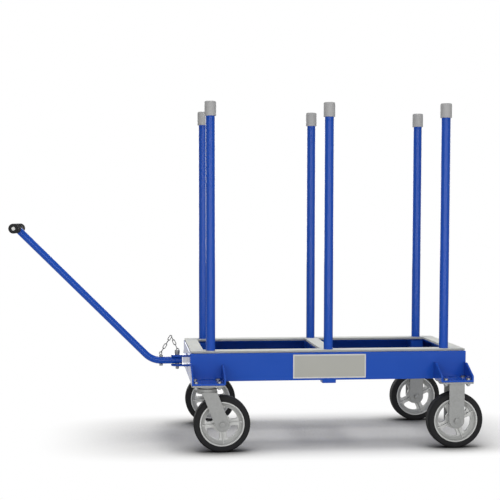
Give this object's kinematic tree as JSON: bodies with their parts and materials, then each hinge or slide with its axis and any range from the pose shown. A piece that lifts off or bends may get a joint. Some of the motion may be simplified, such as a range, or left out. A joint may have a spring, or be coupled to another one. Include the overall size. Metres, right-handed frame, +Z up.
{
  "type": "slab dolly",
  "caption": "Low channel-frame slab dolly on outrigger casters, with lift-out upright posts and a tow handle on a drop pin.",
  "frame": {"origin": "on the floor, under the middle of the whole dolly, handle included", "axes": "+X from the handle end to the rigid caster end, +Y to the dolly's left seen from the handle, +Z up"},
  "size_m": [1.71, 0.6678, 1.2506],
  "materials": {
    "blue_paint": "satin blue paint",
    "lining": "matte pale board",
    "zinc": "zinc plated, dull",
    "cast_iron": "grey, cast",
    "tyre": "matte black rubber",
    "grip": "matte black",
    "cap": "matte light grey",
    "steel": "bright plated wire"
  },
  "bodies": {
    "frame": {"side_rail_near": "blue_paint", "side_rail_far": "blue_paint", "end_rail_hitch": "blue_paint", "end_rail_rear": "blue_paint", "cross_rail": "blue_paint", "post_socket_near_1": "blue_paint", "post_socket_near_2": "blue_paint", "post_socket_near_3": "blue_paint", "post_socket_far_1": "blue_paint", "post_socket_far_2": "blue_paint", "post_socket_far_3": "blue_paint", "side_lining_near": "lining", "side_lining_far": "lining", "end_lining_hitch": "lining", "end_lining_rear": "lining", "cross_lining": "lining", "bracket_hitch_near": "blue_paint", "bracket_hitch_far": "blue_paint", "bracket_rear_near": "blue_paint", "bracket_rear_far": "blue_paint", "hitch_plate_lower": "blue_paint", "hitch_plate_upper": "blue_paint", "swivel_plate_near": "zinc", "swivel_plate_far": "zinc", "kingpin_near": "zinc", "kingpin_far": "zinc", "rigid_fork_near": "zinc", "rigid_fork_far": "zinc", "axle_rigid_near": "zinc", "axle_rigid_far": "zinc"},
    "swivel_near": {"swivel_fork_near": "zinc", "axle_swivel_near": "zinc"},
    "swivel_far": {"swivel_fork_far": "zinc", "axle_swivel_far": "zinc"},
    "wheel_swivel_near": {"wheel_core_swivel_near": "cast_iron", "tyre_swivel_near": "tyre"},
    "wheel_swivel_far": {"wheel_core_swivel_far": "cast_iron", "tyre_swivel_far": "tyre"},
    "wheel_rigid_near": {"wheel_core_rigid_near": "cast_iron", "tyre_rigid_near": "tyre"},
    "wheel_rigid_far": {"wheel_core_rigid_far": "cast_iron", "tyre_rigid_far": "tyre"},
    "post_body_near_1": {"post_near_1": "blue_paint", "post_cap_near_1": "cap"},
    "post_body_near_2": {"post_near_2": "blue_paint", "post_cap_near_2": "cap"},
    "post_body_near_3": {"post_near_3": "blue_paint", "post_cap_near_3": "cap"},
    "post_body_far_1": {"post_far_1": "blue_paint", "post_cap_far_1": "cap"},
    "post_body_far_2": {"post_far_2": "blue_paint", "post_cap_far_2": "cap"},
    "post_body_far_3": {"post_far_3": "blue_paint", "post_cap_far_3": "cap"},
    "handle": {"handle_tube": "blue_paint", "grip_near": "grip", "grip_far": "grip", "tether_bolt": "zinc", "tether_chain": "steel"},
    "pin": {"hitch_pin": "zinc"}
  },
  "joints": [
    {"name": "swivel_turn_near", "type": "hinge", "parent": "frame", "child": "swivel_near", "pos_m": [-0.14833, -0.2831, 0.2285], "axis": [0, 0, 1], "continuous": true},
    {"name": "swivel_turn_far", "type": "hinge", "parent": "frame", "child": "swivel_far", "pos_m": [-0.14833, 0.2831, 0.2285], "axis": [0, 0, 1], "continuous": true},
    {"name": "wheel_spin_swivel_near", "type": "hinge", "parent": "swivel_near", "child": "wheel_swivel_near", "pos_m": [-0.09632, -0.2831, 0.1016], "axis": [0, 1, 0], "continuous": true},
    {"name": "wheel_spin_swivel_far", "type": "hinge", "parent": "swivel_far", "child": "wheel_swivel_far", "pos_m": [-0.09632, 0.2831, 0.1016], "axis": [0, 1, 0], "continuous": true},
    {"name": "wheel_spin_rigid_near", "type": "hinge", "parent": "frame", "child": "wheel_rigid_near", "pos_m": [0.75338, -0.2831, 0.1016], "axis": [0, 1, 0], "continuous": true},
    {"name": "wheel_spin_rigid_far", "type": "hinge", "parent": "frame", "child": "wheel_rigid_far", "pos_m": [0.75338, 0.2831, 0.1016], "axis": [0, 1, 0], "continuous": true},
    {"name": "post_lift_near_1", "type": "slide", "parent": "frame", "child": "post_body_near_1", "axis": [0, 0, 1], "range_m": [0, 0.12]},
    {"name": "post_lift_near_2", "type": "slide", "parent": "frame", "child": "post_body_near_2", "axis": [0, 0, 1], "range_m": [0, 0.12]},
    {"name": "post_lift_near_3", "type": "slide", "parent": "frame", "child": "post_body_near_3", "axis": [0, 0, 1], "range_m": [0, 0.12]},
    {"name": "post_lift_far_1", "type": "slide", "parent": "frame", "child": "post_body_far_1", "axis": [0, 0, 1], "range_m": [0, 0.12]},
    {"name": "post_lift_far_2", "type": "slide", "parent": "frame", "child": "post_body_far_2", "axis": [0, 0, 1], "range_m": [0, 0.12]},
    {"name": "post_lift_far_3", "type": "slide", "parent": "frame", "child": "post_body_far_3", "axis": [0, 0, 1], "range_m": [0, 0.12]},
    {"name": "handle_swing", "type": "hinge", "parent": "frame", "child": "handle", "pos_m": [-0.24197, 0, 0.2948], "axis": [0, 0, 1], "range_deg": [-90, 90]},
    {"name": "pin_lift", "type": "slide", "parent": "handle", "child": "pin", "axis": [0, 0, 1], "range_m": [0, 0.06], "deforming": ["tether_chain"]}
  ]
}
